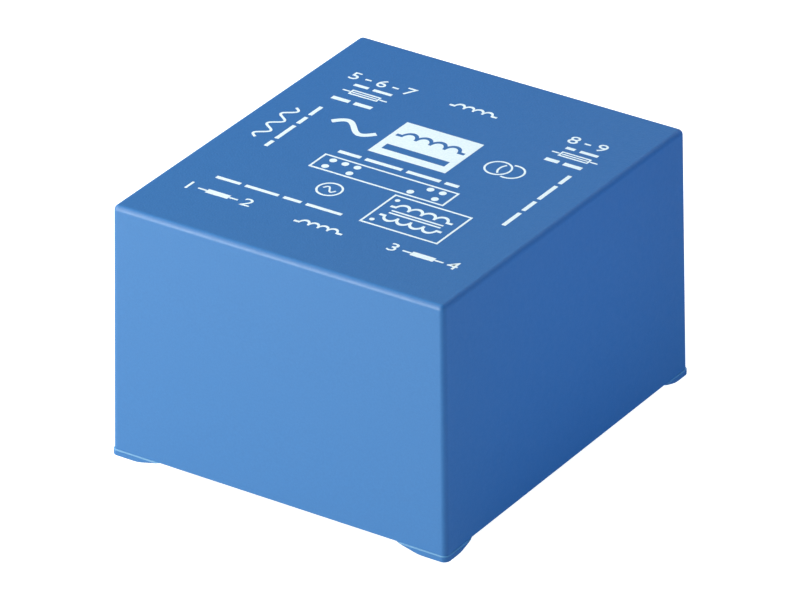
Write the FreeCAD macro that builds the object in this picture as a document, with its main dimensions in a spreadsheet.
"""An encapsulated transformer for printed circuit boards.

A rectangular core of interleaved U and I sheets carries two identical two-chamber
formers. The primary lies in the front chambers, the secondary in the back ones. Pins
pressed into the formers' rails stand out below, and resin fills the drafted housing
round everything. The origin is the centre of the seating plane under the corner feet,
with X across the housing, Y along it and Z up.
"""
import FreeCAD, Part
import math
import os

import Sketcher

doc = FreeCAD.newDocument("pcb_transformer")

# Driving dimensions in millimetres, angles in degrees
DRIVING = {
    # core sheets
    "leg_width": 13.0,
    "window_width": 13.0,
    "window_length": 39.0,
    "sheet_thickness": 0.5,
    "sheet_count": 42,
    # coil formers
    "leg_clearance": 0.2,
    "yoke_clearance": 0.2,
    "tube_wall": 1.0,
    "flange_thickness": 1.0,
    "flange_lip": 0.3,
    "former_spacing": 1.0,
    "rail_height": 5.0,
    "rail_edge": 3.5,
    "rail_inset": 1.0,
    "gusset_size": 2.5,
    "gusset_thickness": 1.2,
    "gusset_spacing": 16.0,
    # insulation over the windings
    "tape_thickness": 0.2,
    "tape_margin": 1.6,
    # pins
    "pin_diameter": 1.0,
    "pin_tail": 4.0,
    "shank_width": 1.2,
    "shank_depth": 4.0,
    "shoulder_reach": 0.3,
    "pin_pitch": 5.0,
    "pin_edge": 3.0,
    "pin_setback": 7.5,
    # lead wires
    "lead_diameter": 0.6,
    "lead_spacing": 3.0,
    "lead_gap": 0.8,
    "lead_room": 3.4,
    "solder_gap": 0.15,
    # potting resin
    "resin_recess": 0.8,
    "resin_cover": 1.0,
    "meniscus_rise": 0.4,
    "meniscus_width": 0.8,
    # housing
    "wall_thickness": 1.3,
    "roof_thickness": 1.3,
    "draft_angle": 0.93,
    "core_clearance": 0.15,
    "side_clearance": 2.9,
    "top_clearance": 0.9,
    "corner_radius": 0.9,
    "edge_radius": 0.85,
    "inner_radius": 0.5,
    "rib_thickness": 1.2,
    "rib_clearance": 0.2,
    "rib_lift": 5.0,
    # corner feet
    "foot_height": 1.0,
    "foot_flat_across": 4.8,
    "foot_flat_along": 3.8,
    "foot_ramp_across": 4.0,
    "foot_ramp_along": 3.2,
    "foot_ledge": 0.2,
    "ledge_bevel": 0.16,
    "foot_blend": 6.0,
}

# Sizes and levels that follow from the driving ones, each from those above it
DERIVED = {
    "core_width": "2 * Dims.leg_width + Dims.window_width",
    "core_length": "2 * Dims.leg_width + Dims.window_length",
    "stack_height": "Dims.sheet_count * Dims.sheet_thickness",
    "leg_centre": "(Dims.leg_width + Dims.window_width) / 2",
    "tube_bore_width": "Dims.leg_width + 2 * Dims.leg_clearance",
    "tube_bore_height": "Layout.stack_height + 2 * Dims.leg_clearance",
    "tube_width": "Layout.tube_bore_width + 2 * Dims.tube_wall",
    "tube_height": "Layout.tube_bore_height + 2 * Dims.tube_wall",
    "former_length": "Dims.window_length - 2 * Dims.yoke_clearance",
    "flange_half_width": "Layout.leg_centre - Dims.former_spacing / 2",
    "winding_build": (
        "Layout.flange_half_width - Layout.tube_width / 2 - Dims.tape_thickness - Dims.flange_lip"
    ),
    "winding_width": "Layout.tube_width + 2 * Layout.winding_build",
    "winding_height": "Layout.tube_height + 2 * Layout.winding_build",
    "wrap_width": "Layout.winding_width + 2 * Dims.tape_thickness",
    "wrap_height": "Layout.winding_height + 2 * Dims.tape_thickness",
    "flange_half_height": "Layout.wrap_height / 2 + Dims.flange_lip",
    "chamber_start": "Dims.flange_thickness / 2",
    "chamber_end": "Layout.former_length / 2 - Dims.flange_thickness",
    "rim_level": "Dims.foot_height",
    "resin_level": "Layout.rim_level + Dims.resin_recess",
    "lead_level": "Layout.resin_level + Dims.resin_cover + Dims.lead_diameter / 2",
    "rail_level": "Layout.lead_level + Dims.lead_diameter / 2 + Dims.lead_gap",
    "coil_level": "Layout.rail_level + Dims.lead_room + Layout.flange_half_height",
    "core_top": "Layout.coil_level + Layout.stack_height / 2",
    "flange_top": "Layout.coil_level + Layout.flange_half_height",
    "ceiling_level": "Layout.flange_top + Dims.top_clearance",
    "housing_height": "Layout.ceiling_level + Dims.roof_thickness - Layout.rim_level",
    "draft_ratio": "tan(Dims.draft_angle * 1 deg)",
    "cavity_length": (
        "Layout.core_length + 2 * Dims.core_clearance"
        " + 2 * Layout.draft_ratio * (Layout.core_top - Layout.rim_level)"
    ),
    "flange_reach": "Layout.leg_centre + Layout.flange_half_width",
    "cavity_width": (
        "2 * Layout.flange_reach + 2 * Dims.side_clearance"
        " + 2 * Layout.draft_ratio * (Layout.flange_top - Layout.rim_level)"
    ),
    "housing_length": "Layout.cavity_length + 2 * Dims.wall_thickness",
    "housing_width": "Layout.cavity_width + 2 * Dims.wall_thickness",
    "pin_row": "Layout.core_length / 2 - Dims.pin_setback",
    "rail_end": "Layout.pin_row + Dims.rail_edge",
    "foot_flat_x": "Layout.housing_width / 2 - Dims.foot_flat_across",
    "foot_ramp_x": "Layout.foot_flat_x - Dims.foot_ramp_across",
    "foot_flat_y": "Layout.housing_length / 2 - Dims.foot_flat_along",
    "foot_ramp_y": "Layout.foot_flat_y - Dims.foot_ramp_along",
}

dims = doc.addObject("Spreadsheet::Sheet", "Dims")
for row, (alias, value) in enumerate(DRIVING.items(), start=1):
    dims.set(f"A{row}", alias)
    dims.set(f"B{row}", str(value))
    dims.setAlias(f"B{row}", alias)
doc.recompute()

layout = doc.addObject("Spreadsheet::Sheet", "Layout")
for row, (alias, formula) in enumerate(DERIVED.items(), start=1):
    layout.set(f"A{row}", alias)
    layout.set(f"B{row}", "=" + formula.replace("Layout.", ""))
    layout.setAlias(f"B{row}", alias)
    doc.recompute()


def measure(expression):
    """The value of an expression over the two sheets, as a plain number."""
    value = layout.evalExpression(expression)
    return float(getattr(value, "Value", value))


def close(first, second):
    """Whether two lengths agree to a hundredth of a millimetre."""
    return abs(first - second) < 0.01


def new_body(label):
    """An empty body with its label."""
    body = doc.addObject("PartDesign::Body", label)
    body.Label = label
    return body


def new_sketch(body, name, role, offset=None):
    """A sketch on one of the body's origin planes, moved along its normal."""
    plane = next(feature for feature in body.Origin.OriginFeatures if feature.Role == role)
    sketch = body.newObject("Sketcher::SketchObject", name)
    sketch.AttachmentSupport = [(plane, "")]
    sketch.MapMode = "FlatFace"
    if offset:
        sketch.setExpression("AttachmentOffset.Base.z", offset)
    return sketch


def hold(sketch, kind, place, expression):
    """A dimension between the places given, bound to an expression."""
    index = sketch.addConstraint(Sketcher.Constraint(kind, *place, measure(expression)))
    sketch.setExpression(f"Constraints[{index}]", expression)


def polygon(sketch, corners):
    """A closed outline, each corner held by its distances across and up from the origin."""
    points = [FreeCAD.Vector(measure(across), measure(up), 0) for across, up in corners]
    first = sketch.GeometryCount
    count = len(points)
    for i in range(count):
        sketch.addGeometry(Part.LineSegment(points[i], points[(i + 1) % count]), False)
    for i in range(count):
        joined = (first + i, 2, first + (i + 1) % count, 1)
        sketch.addConstraint(Sketcher.Constraint("Coincident", *joined))
    for i, (across, up) in enumerate(corners):
        hold(sketch, "DistanceX", (-1, 1, first + i, 1), across)
        hold(sketch, "DistanceY", (-1, 1, first + i, 1), up)


def rectangle(sketch, width, height):
    """A rectangle centred on the sketch's origin."""
    half_x, half_y = measure(width) / 2, measure(height) / 2
    points = [
        FreeCAD.Vector(across * half_x, up * half_y, 0)
        for across, up in ((-1, -1), (1, -1), (1, 1), (-1, 1))
    ]
    first = sketch.GeometryCount
    for i in range(4):
        sketch.addGeometry(Part.LineSegment(points[i], points[(i + 1) % 4]), False)
    for i in range(4):
        sketch.addConstraint(Sketcher.Constraint("Coincident", first + i, 2, first + (i + 1) % 4, 1))
        direction = "Vertical" if i % 2 else "Horizontal"
        sketch.addConstraint(Sketcher.Constraint(direction, first + i))
    sketch.addConstraint(Sketcher.Constraint("Symmetric", first, 1, first + 2, 1, -1, 1))
    hold(sketch, "DistanceX", (first, 1, first, 2), width)
    hold(sketch, "DistanceY", (first + 1, 1, first + 1, 2), height)


def rounded_rectangle(sketch, width, height, radius):
    """A centred rectangle whose four corners are equal arcs."""
    half_x, half_y, r = measure(width) / 2, measure(height) / 2, measure(radius)
    first = sketch.GeometryCount
    for i, (across, up) in enumerate(((1, -1), (1, 1), (-1, 1), (-1, -1))):
        start = math.radians(90 * i - 90)
        centre = FreeCAD.Vector(across * (half_x - r), up * (half_y - r), 0)
        whole = Part.Circle(centre, FreeCAD.Vector(0, 0, 1), r)
        sketch.addGeometry(Part.ArcOfCircle(whole, start, start + math.pi / 2), False)
    for i in range(4):
        before = sketch.Geometry[first + i]
        after = sketch.Geometry[first + (i + 1) % 4]
        sketch.addGeometry(Part.LineSegment(before.EndPoint, after.StartPoint), False)
    for i in range(4):
        line = first + 4 + i
        sketch.addConstraint(Sketcher.Constraint("Tangent", first + i, 2, line, 1))
        sketch.addConstraint(Sketcher.Constraint("Tangent", line, 2, first + (i + 1) % 4, 1))
        direction = "Horizontal" if i % 2 else "Vertical"
        sketch.addConstraint(Sketcher.Constraint(direction, line))
    for i in range(1, 4):
        sketch.addConstraint(Sketcher.Constraint("Equal", first, first + i))
    sketch.addConstraint(Sketcher.Constraint("Symmetric", first, 3, first + 2, 3, -1, 1))
    hold(sketch, "Radius", (first,), radius)
    hold(sketch, "DistanceX", (first + 6, 1, first + 4, 1), width)
    hold(sketch, "DistanceY", (first + 7, 1, first + 5, 1), height)


def square(sketch, across, up, width):
    """A square about a point held from the sketch's origin."""
    left, right = f"{across} - {width} / 2", f"{across} + {width} / 2"
    low, high = f"{up} - {width} / 2", f"{up} + {width} / 2"
    polygon(sketch, [(left, low), (right, low), (right, high), (left, high)])


def circle(sketch, radius):
    """A circle about the sketch's origin."""
    index = sketch.addGeometry(
        Part.Circle(FreeCAD.Vector(0, 0, 0), FreeCAD.Vector(0, 0, 1), measure(radius)), False
    )
    sketch.addConstraint(Sketcher.Constraint("Coincident", index, 3, -1, 1))
    hold(sketch, "Radius", (index,), radius)


def extrude(body, kind, sketch, length, side="One side", reverse=False, taper=None):
    """A Pad or a Pocket of the sketch, with its length and taper bound."""
    feature = body.newObject(f"PartDesign::{kind}", f"{sketch.Name}_{kind}")
    feature.Profile = sketch
    feature.SideType = side
    feature.Reversed = reverse
    feature.setExpression("Length", length)
    if taper:
        feature.setExpression("TaperAngle", taper)
    doc.recompute()
    return feature


def draft_walls(body, name, level, width, length, reverse=False):
    """Leans the four upright walls of an outline in towards the top, hinged at a level."""
    base = body.Tip
    half_x, half_y = measure(width) / 2, measure(length) / 2
    walls, hinge = [], None
    for i, face in enumerate(base.Shape.Faces, start=1):
        box = face.BoundBox
        if close(box.XLength, 0) and close(abs(box.XMin), half_x):
            walls.append(f"Face{i}")
        elif close(box.YLength, 0) and close(abs(box.YMin), half_y):
            walls.append(f"Face{i}")
        elif close(box.ZLength, 0) and close(box.ZMin, level):
            hinge = f"Face{i}"
    draft = body.newObject("PartDesign::Draft", name)
    draft.Base = (base, walls)
    draft.NeutralPlane = (base, [hinge])
    draft.Reversed = reverse
    draft.setExpression("Angle", "Dims.draft_angle")
    doc.recompute()
    return draft


def ease_edges(body, kind, name, size, wanted):
    """A Fillet or a Chamfer over the edges of the body's tip that pass the test."""
    base = body.Tip
    names = [f"Edge{i}" for i, edge in enumerate(base.Shape.Edges, start=1) if wanted(edge)]
    feature = body.newObject(f"PartDesign::{kind}", name)
    feature.Base = (base, names)
    feature.setExpression("Radius" if kind == "Fillet" else "Size", size)
    doc.recompute()
    return feature


nodes = []

# Housing: a drafted cup with its mouth down, open at the rim
housing = new_body("housing")
sketch = new_sketch(housing, "CupOutline", "XY_Plane", "Layout.rim_level")
rectangle(sketch, "Layout.housing_width", "Layout.housing_length")
extrude(housing, "Pad", sketch, "Layout.housing_height")
rim, roof = measure("Layout.rim_level"), measure("Layout.rim_level + Layout.housing_height")
draft_walls(housing, "CupDraft", rim, "Layout.housing_width", "Layout.housing_length")
ease_edges(
    housing,
    "Fillet",
    "CupCorners",
    "Dims.corner_radius",
    lambda edge: edge.BoundBox.ZLength > (roof - rim) / 2,
)
ease_edges(
    housing,
    "Fillet",
    "CupTopEdges",
    "Dims.edge_radius",
    lambda edge: close(edge.BoundBox.ZMin, roof) and close(edge.BoundBox.ZMax, roof),
)

# Cavity of the cup, drafted like the outside
sketch = new_sketch(housing, "CavityOutline", "XY_Plane", "Layout.rim_level")
rectangle(sketch, "Layout.cavity_width", "Layout.cavity_length")
extrude(
    housing,
    "Pocket",
    sketch,
    "Layout.ceiling_level - Layout.rim_level",
    reverse=True,
)
draft_walls(
    housing, "CavityDraft", rim, "Layout.cavity_width", "Layout.cavity_length", reverse=True
)
ceiling = measure("Layout.ceiling_level")
ease_edges(
    housing,
    "Fillet",
    "CavityCorners",
    "Dims.inner_radius",
    lambda edge: close(edge.BoundBox.ZMin, rim) and close(edge.BoundBox.ZMax, ceiling),
)

# Guide ribs that hold the formers' end flanges off the long walls
for name, side in (("Left", "-1"), ("Right", "1")):
    for place, end in (("Front", "-1"), ("Back", "1")):
        sketch = new_sketch(housing, f"Rib{name}{place}", "XY_Plane", "Layout.rim_level + Dims.rib_lift")
        rib_y = f"{end} * (Layout.former_length - Dims.flange_thickness) / 2"
        inner = f"{side} * (Layout.flange_reach + Dims.rib_clearance)"
        outer = (
            f"{side} * (Layout.cavity_width / 2 + Dims.wall_thickness / 2"
            " - Layout.draft_ratio * Layout.housing_height)"
        )
        polygon(
            sketch,
            [
                (inner, f"{rib_y} - Dims.rib_thickness / 2"),
                (outer, f"{rib_y} - Dims.rib_thickness / 2"),
                (outer, f"{rib_y} + Dims.rib_thickness / 2"),
                (inner, f"{rib_y} + Dims.rib_thickness / 2"),
            ],
        )
        rib_height = (
            "Layout.ceiling_level + Dims.roof_thickness / 2 - Layout.rim_level - Dims.rib_lift"
        )
        extrude(housing, "Pad", sketch, rib_height)

# Corner feet: a low skirt under the rim, a little proud of the wall and bevelled along
# its ledge, with its four middles cut away to slopes
sketch = new_sketch(housing, "FootSkirt", "XY_Plane", "Layout.rim_level")
rounded_rectangle(
    sketch,
    "Layout.housing_width + 2 * Dims.foot_ledge",
    "Layout.housing_length + 2 * Dims.foot_ledge",
    "Dims.corner_radius + Dims.foot_ledge",
)
rounded_rectangle(sketch, "Layout.cavity_width", "Layout.cavity_length", "Dims.inner_radius")
extrude(housing, "Pad", sketch, "Dims.foot_height", reverse=True)
wall_x, wall_y = measure("Layout.housing_width / 2"), measure("Layout.housing_length / 2")
proud = measure("Dims.foot_ledge / 2")


def on_ledge(edge):
    """The outer edges of the ledge, which stand proud of the walls at the rim's level."""
    box = edge.BoundBox
    proud_x = max(-box.XMin, box.XMax) > wall_x + proud
    proud_y = max(-box.YMin, box.YMax) > wall_y + proud
    return close(box.ZMin, rim) and close(box.ZMax, rim) and (proud_x or proud_y)


ease_edges(housing, "Chamfer", "LedgeBevel", "Dims.ledge_bevel", on_ledge)
for name, role, flat, ramp in (
    ("Across", "XZ_Plane", "Layout.foot_flat_x", "Layout.foot_ramp_x"),
    ("Along", "YZ_Plane", "Layout.foot_flat_y", "Layout.foot_ramp_y"),
):
    sketch = new_sketch(housing, f"FootClear{name}", role)
    polygon(
        sketch,
        [
            (f"-{flat}", "0"),
            (flat, "0"),
            (ramp, "Dims.foot_height"),
            (f"-{ramp}", "Dims.foot_height"),
        ],
    )
    reach = "2 * (Layout.housing_length + Dims.foot_ledge)"
    extrude(housing, "Pocket", sketch, reach, side="Symmetric")
flat_x, flat_y = measure("Layout.foot_flat_x"), measure("Layout.foot_flat_y")


def on_foot_slope(edge):
    """The lower ends of the slopes, where they meet the feet's flats."""
    box = edge.BoundBox
    across = close(box.XLength, 0) and close(abs(box.XMin), flat_x)
    along = close(box.YLength, 0) and close(abs(box.YMin), flat_y)
    return close(box.ZMin, 0) and close(box.ZMax, 0) and (across or along)


ease_edges(housing, "Fillet", "FootBlends", "Dims.foot_blend", on_foot_slope)
nodes.append(housing)

# Core sheets, laid U against I at alternate ends
u_sheet = new_body("u_sheet")
sketch = new_sketch(u_sheet, "UOutline", "XY_Plane")
polygon(
    sketch,
    [
        ("-Layout.core_width / 2", "-Layout.core_length / 2"),
        ("Layout.core_width / 2", "-Layout.core_length / 2"),
        ("Layout.core_width / 2", "Dims.window_length / 2"),
        ("Dims.window_width / 2", "Dims.window_length / 2"),
        ("Dims.window_width / 2", "-Dims.window_length / 2"),
        ("-Dims.window_width / 2", "-Dims.window_length / 2"),
        ("-Dims.window_width / 2", "Dims.window_length / 2"),
        ("-Layout.core_width / 2", "Dims.window_length / 2"),
    ],
)
extrude(u_sheet, "Pad", sketch, "Dims.sheet_thickness")
i_sheet = new_body("i_sheet")
sketch = new_sketch(i_sheet, "IOutline", "XY_Plane")
polygon(
    sketch,
    [
        ("-Layout.core_width / 2", "Dims.window_length / 2"),
        ("Layout.core_width / 2", "Dims.window_length / 2"),
        ("Layout.core_width / 2", "Layout.core_length / 2"),
        ("-Layout.core_width / 2", "Layout.core_length / 2"),
    ],
)
extrude(i_sheet, "Pad", sketch, "Dims.sheet_thickness")
for label, sheet in (("u_laminations", u_sheet), ("i_laminations", i_sheet)):
    layers = []
    for layer in range(round(measure("Dims.sheet_count"))):
        copy = sheet.Shape.copy()
        copy.rotate(FreeCAD.Vector(0, 0, 0), FreeCAD.Vector(0, 0, 1), 180 * (layer % 2))
        copy.translate(FreeCAD.Vector(0, 0, layer * measure("Dims.sheet_thickness")))
        layers.append(copy)
    stack = doc.addObject("Part::Feature", label)
    stack.Label = label
    stack.Shape = Part.makeCompound(layers)
    stack.Placement.Base.z = measure("Layout.core_top - Layout.stack_height")
    nodes.append(stack)

# Room that the whole stack takes in the resin
core_space = new_body("core_space")
sketch = new_sketch(core_space, "CorePlan", "XY_Plane", "Layout.core_top - Layout.stack_height")
rectangle(sketch, "Layout.core_width", "Layout.core_length")
rectangle(sketch, "Dims.window_width", "Dims.window_length")
extrude(core_space, "Pad", sketch, "Layout.stack_height")

# Each side of the transformer: its sign, and the turn of what stands there about Z
SIDES = (("left", -1, 180), ("right", 1, 0))
# Each end: its sign along Y, and the pins used in each rail, counted from the outside
ENDS = (
    ("primary", -1, {"left": (0, 2), "right": (0, 2)}),
    ("secondary", 1, {"left": (0, 1, 2), "right": (0, 1)}),
)


def at_coil(body, side, turn):
    """Places a body that is drawn about a leg's centre, its outer side towards +X."""
    centre = FreeCAD.Vector(side * measure("Layout.leg_centre"), 0, measure("Layout.coil_level"))
    body.Placement = FreeCAD.Placement(centre, FreeCAD.Rotation(FreeCAD.Vector(0, 0, 1), turn))


def add_former(label, side, turn):
    """A former: tube, two end flanges, a partition, and a rail with pin holes at each end."""
    body = new_body(label)
    sketch = new_sketch(body, "Tube", "XZ_Plane")
    rectangle(sketch, "Layout.tube_width", "Layout.tube_height")
    rectangle(sketch, "Layout.tube_bore_width", "Layout.tube_bore_height")
    extrude(body, "Pad", sketch, "Layout.former_length", side="Symmetric")
    sketch = new_sketch(body, "Partition", "XZ_Plane")
    rectangle(sketch, "2 * Layout.flange_half_width", "2 * Layout.flange_half_height")
    rectangle(sketch, "Layout.tube_bore_width", "Layout.tube_bore_height")
    extrude(body, "Pad", sketch, "Dims.flange_thickness", side="Symmetric")
    foot = "Layout.rail_level - Layout.coil_level"
    rail_top = f"{foot} + Dims.rail_height"
    for place, sign in (("Front", "1"), ("Back", "-1")):
        middle = f"{sign} * (Layout.former_length - Dims.flange_thickness) / 2"
        sketch = new_sketch(body, f"{place}Flange", "XZ_Plane", middle)
        polygon(
            sketch,
            [
                ("-Layout.flange_half_width", foot),
                ("Layout.flange_half_width", foot),
                ("Layout.flange_half_width", "Layout.flange_half_height"),
                ("-Layout.flange_half_width", "Layout.flange_half_height"),
            ],
        )
        rectangle(sketch, "Layout.tube_bore_width", "Layout.tube_bore_height")
        extrude(body, "Pad", sketch, "Dims.flange_thickness", side="Symmetric")
        middle = f"{sign} * (Layout.former_length / 2 + Layout.rail_end) / 2"
        sketch = new_sketch(body, f"{place}Rail", "XZ_Plane", middle)
        polygon(
            sketch,
            [
                ("-Layout.flange_half_width", foot),
                ("Layout.flange_half_width - Dims.rail_inset", foot),
                ("Layout.flange_half_width - Dims.rail_inset", rail_top),
                ("-Layout.flange_half_width", rail_top),
            ],
        )
        depth = "Layout.rail_end - Layout.former_length / 2"
        extrude(body, "Pad", sketch, depth, side="Symmetric")
        for name, turned in (("Inner", "-1"), ("Outer", "1")):
            across = f"{turned} * Dims.gusset_spacing / 2"
            sketch = new_sketch(body, f"{place}{name}Gusset", "YZ_Plane", across)
            flange = f"-{sign} * Layout.former_length / 2"
            polygon(
                sketch,
                [
                    (flange, rail_top),
                    (f"{flange} - {sign} * Dims.gusset_size", rail_top),
                    (flange, f"{rail_top} + Dims.gusset_size"),
                ],
            )
            extrude(body, "Pad", sketch, "Dims.gusset_thickness", side="Symmetric")
    sketch = new_sketch(body, "PinHoles", "XY_Plane", foot)
    for row in ("-Layout.pin_row", "Layout.pin_row"):
        for place in range(3):
            across = f"Layout.flange_half_width - Dims.pin_edge - {place} * Dims.pin_pitch"
            square(sketch, across, row, "Dims.shank_width")
    extrude(body, "Pocket", sketch, "Dims.shank_depth", reverse=True)
    at_coil(body, side, turn)
    nodes.append(body)


def add_ring(label, side, turn, start, end, inner, outer):
    """A closed ring round a leg from start to end along it, between two outlines."""
    body = new_body(label)
    sketch = new_sketch(body, "Ring", "XZ_Plane", f"-({start} + {end}) / 2")
    for outline in (outer, inner):
        if len(outline) == 2:
            rectangle(sketch, *outline)
        else:
            rounded_rectangle(sketch, *outline)
    extrude(body, "Pad", sketch, f"abs({end} - ({start}))", side="Symmetric")
    at_coil(body, side, turn)
    nodes.append(body)


# Outlines round a leg from the inside out. The wire rounds the tube's square corners.
TUBE = ("Layout.tube_width", "Layout.tube_height")
WINDING = ("Layout.winding_width", "Layout.winding_height", "Layout.winding_build")
WRAP = ("Layout.wrap_width", "Layout.wrap_height", "Layout.winding_build + Dims.tape_thickness")

for side_name, side, turn in SIDES:
    add_former(f"coil_former_{side_name}", side, turn)
    for end_name, end, used in ENDS:
        # drawn on a body that is turned with its former, so the left ones look the other way
        facing = end * (1 if turn == 0 else -1)
        start = f"{facing} * Layout.chamber_start"
        add_ring(
            f"{end_name}_winding_{side_name}",
            side,
            turn,
            start,
            f"{facing} * Layout.chamber_end",
            TUBE,
            WINDING,
        )
        add_ring(
            f"{end_name}_tape_{side_name}",
            side,
            turn,
            start,
            f"{facing} * (Layout.chamber_end - Dims.tape_margin)",
            WINDING,
            WRAP,
        )


def add_pin(label, place):
    """A pin: a square shank, pressed into the rail, and a round tail from just below the resin."""
    body = new_body(label)
    shoulder = "Layout.resin_level - Dims.shoulder_reach"
    sketch = new_sketch(body, "Shank", "XY_Plane", shoulder)
    rectangle(sketch, "Dims.shank_width", "Dims.shank_width")
    extrude(body, "Pad", sketch, f"Layout.rail_level + Dims.shank_depth - ({shoulder})")
    sketch = new_sketch(body, "Tail", "XY_Plane", shoulder)
    circle(sketch, "Dims.pin_diameter / 2")
    extrude(body, "Pad", sketch, f"{shoulder} + Dims.pin_tail", reverse=True)
    body.Placement.Base = place
    nodes.append(body)


def add_lead(label, start, finish):
    """A wire that drops from the winding's underside and turns to run to its pin's flat side."""
    body = new_body(label)
    drop = "Layout.coil_level - Layout.winding_height / 2 - Layout.lead_level"
    reach = finish - start
    held_off = measure("Dims.shank_width / 2 + Dims.solder_gap")
    run = reach.Length * (1 - held_off / abs(reach.y))
    path = new_sketch(body, "Path", "XZ_Plane")
    points = [FreeCAD.Vector(0, measure(drop), 0), FreeCAD.Vector(0, 0, 0), FreeCAD.Vector(run, 0, 0)]
    path.addGeometry(Part.LineSegment(points[0], points[1]), False)
    path.addGeometry(Part.LineSegment(points[1], points[2]), False)
    path.addConstraint(Sketcher.Constraint("Coincident", 0, 2, -1, 1))
    path.addConstraint(Sketcher.Constraint("Coincident", 1, 1, -1, 1))
    path.addConstraint(Sketcher.Constraint("Vertical", 0))
    path.addConstraint(Sketcher.Constraint("Horizontal", 1))
    path.addConstraint(Sketcher.Constraint("DistanceX", 1, 1, 1, 2, run))
    hold(path, "DistanceY", (0, 2, 0, 1), drop)
    section = new_sketch(body, "Section", "XY_Plane", drop)
    circle(section, "Dims.lead_diameter / 2")
    pipe = body.newObject("PartDesign::AdditivePipe", "Wire")
    pipe.Profile = section
    pipe.Spine = (path, [])
    pipe.Transition = "Right corner"
    turn = math.degrees(math.atan2(reach.y, reach.x))
    body.Placement = FreeCAD.Placement(start, FreeCAD.Rotation(FreeCAD.Vector(0, 0, 1), turn))
    nodes.append(body)


# Pins from left to right along each row, each with its wire
for end_name, end, used in ENDS:
    stations = [(-1, place) for place in used["left"]]
    stations += [(1, place) for place in reversed(used["right"])]
    for number, (side, place) in enumerate(stations, start=1):
        across = measure(f"Layout.flange_reach - Dims.pin_edge - {place} * Dims.pin_pitch")
        pin_at = FreeCAD.Vector(side * across, end * measure("Layout.pin_row"), 0)
        add_pin(f"pin_{end_name}_{number}", pin_at)
        lead_level = measure("Layout.lead_level")
        start = FreeCAD.Vector(
            side * measure(f"Layout.leg_centre + {2 - place} * Dims.lead_spacing"),
            end * measure("Layout.chamber_end - Dims.tape_margin / 2"),
            lead_level,
        )
        finish = FreeCAD.Vector(pin_at.x, pin_at.y, lead_level)
        add_lead(f"lead_{end_name}_{number}", start, finish)

# Resin: a filling drafted like the cavity and hollowed a little between the walls, less
# everything that lies in it
filling = new_body("resin_filling")
sketch = new_sketch(filling, "FillPlan", "XY_Plane", "Layout.resin_level - Dims.meniscus_rise")
rectangle(
    sketch,
    "Layout.cavity_width + Dims.wall_thickness",
    "Layout.cavity_length + Dims.wall_thickness",
)
extrude(
    filling,
    "Pad",
    sketch,
    "Layout.ceiling_level + Dims.roof_thickness / 2 - Layout.resin_level + Dims.meniscus_rise",
)
draft_walls(
    filling,
    "FillDraft",
    measure("Layout.resin_level - Dims.meniscus_rise"),
    "Layout.cavity_width + Dims.wall_thickness",
    "Layout.cavity_length + Dims.wall_thickness",
)
sketch = new_sketch(filling, "MeniscusPlan", "XY_Plane", "Layout.resin_level - Dims.meniscus_rise")
narrowing = "2 * Layout.draft_ratio * (Dims.resin_recess - Dims.meniscus_rise)"
rectangle(sketch, f"Layout.cavity_width - {narrowing}", f"Layout.cavity_length - {narrowing}")
extrude(
    filling,
    "Pocket",
    sketch,
    "Dims.meniscus_rise",
    reverse=True,
    taper="-atan(Dims.meniscus_width / Dims.meniscus_rise)",
)
embedded = doc.addObject("Part::MultiFuse", "Embedded")
embedded.Shapes = [core_space] + [node for node in nodes if "laminations" not in node.Label]
resin = doc.addObject("Part::Cut", "potting_resin")
resin.Label = "potting_resin"
resin.Base = filling
resin.Tool = embedded
nodes.append(resin)
doc.recompute()

# Every object must be up to date and every piece a valid solid before any is written
for item in doc.Objects:
    if "Invalid" in item.State or "Error" in item.State:
        raise RuntimeError(f"{item.Label} did not build: {item.State}")
for node in nodes:
    if node.Shape.isNull() or not node.Shape.isValid() or node.Shape.Volume <= 0:
        raise RuntimeError(f"{node.Label} has no valid solid")

os.makedirs("parts", exist_ok=True)
for node in nodes:
    node.Shape.exportStep(f"parts/{node.Label}.step")
    box = node.Shape.BoundBox
    print(
        f"{node.Label:28s} solids {len(node.Shape.Solids):3d}  volume {node.Shape.Volume:10.2f}"
        f"  x {box.XMin:7.2f} {box.XMax:7.2f}  y {box.YMin:7.2f} {box.YMax:7.2f}"
        f"  z {box.ZMin:6.2f} {box.ZMax:6.2f}"
    )
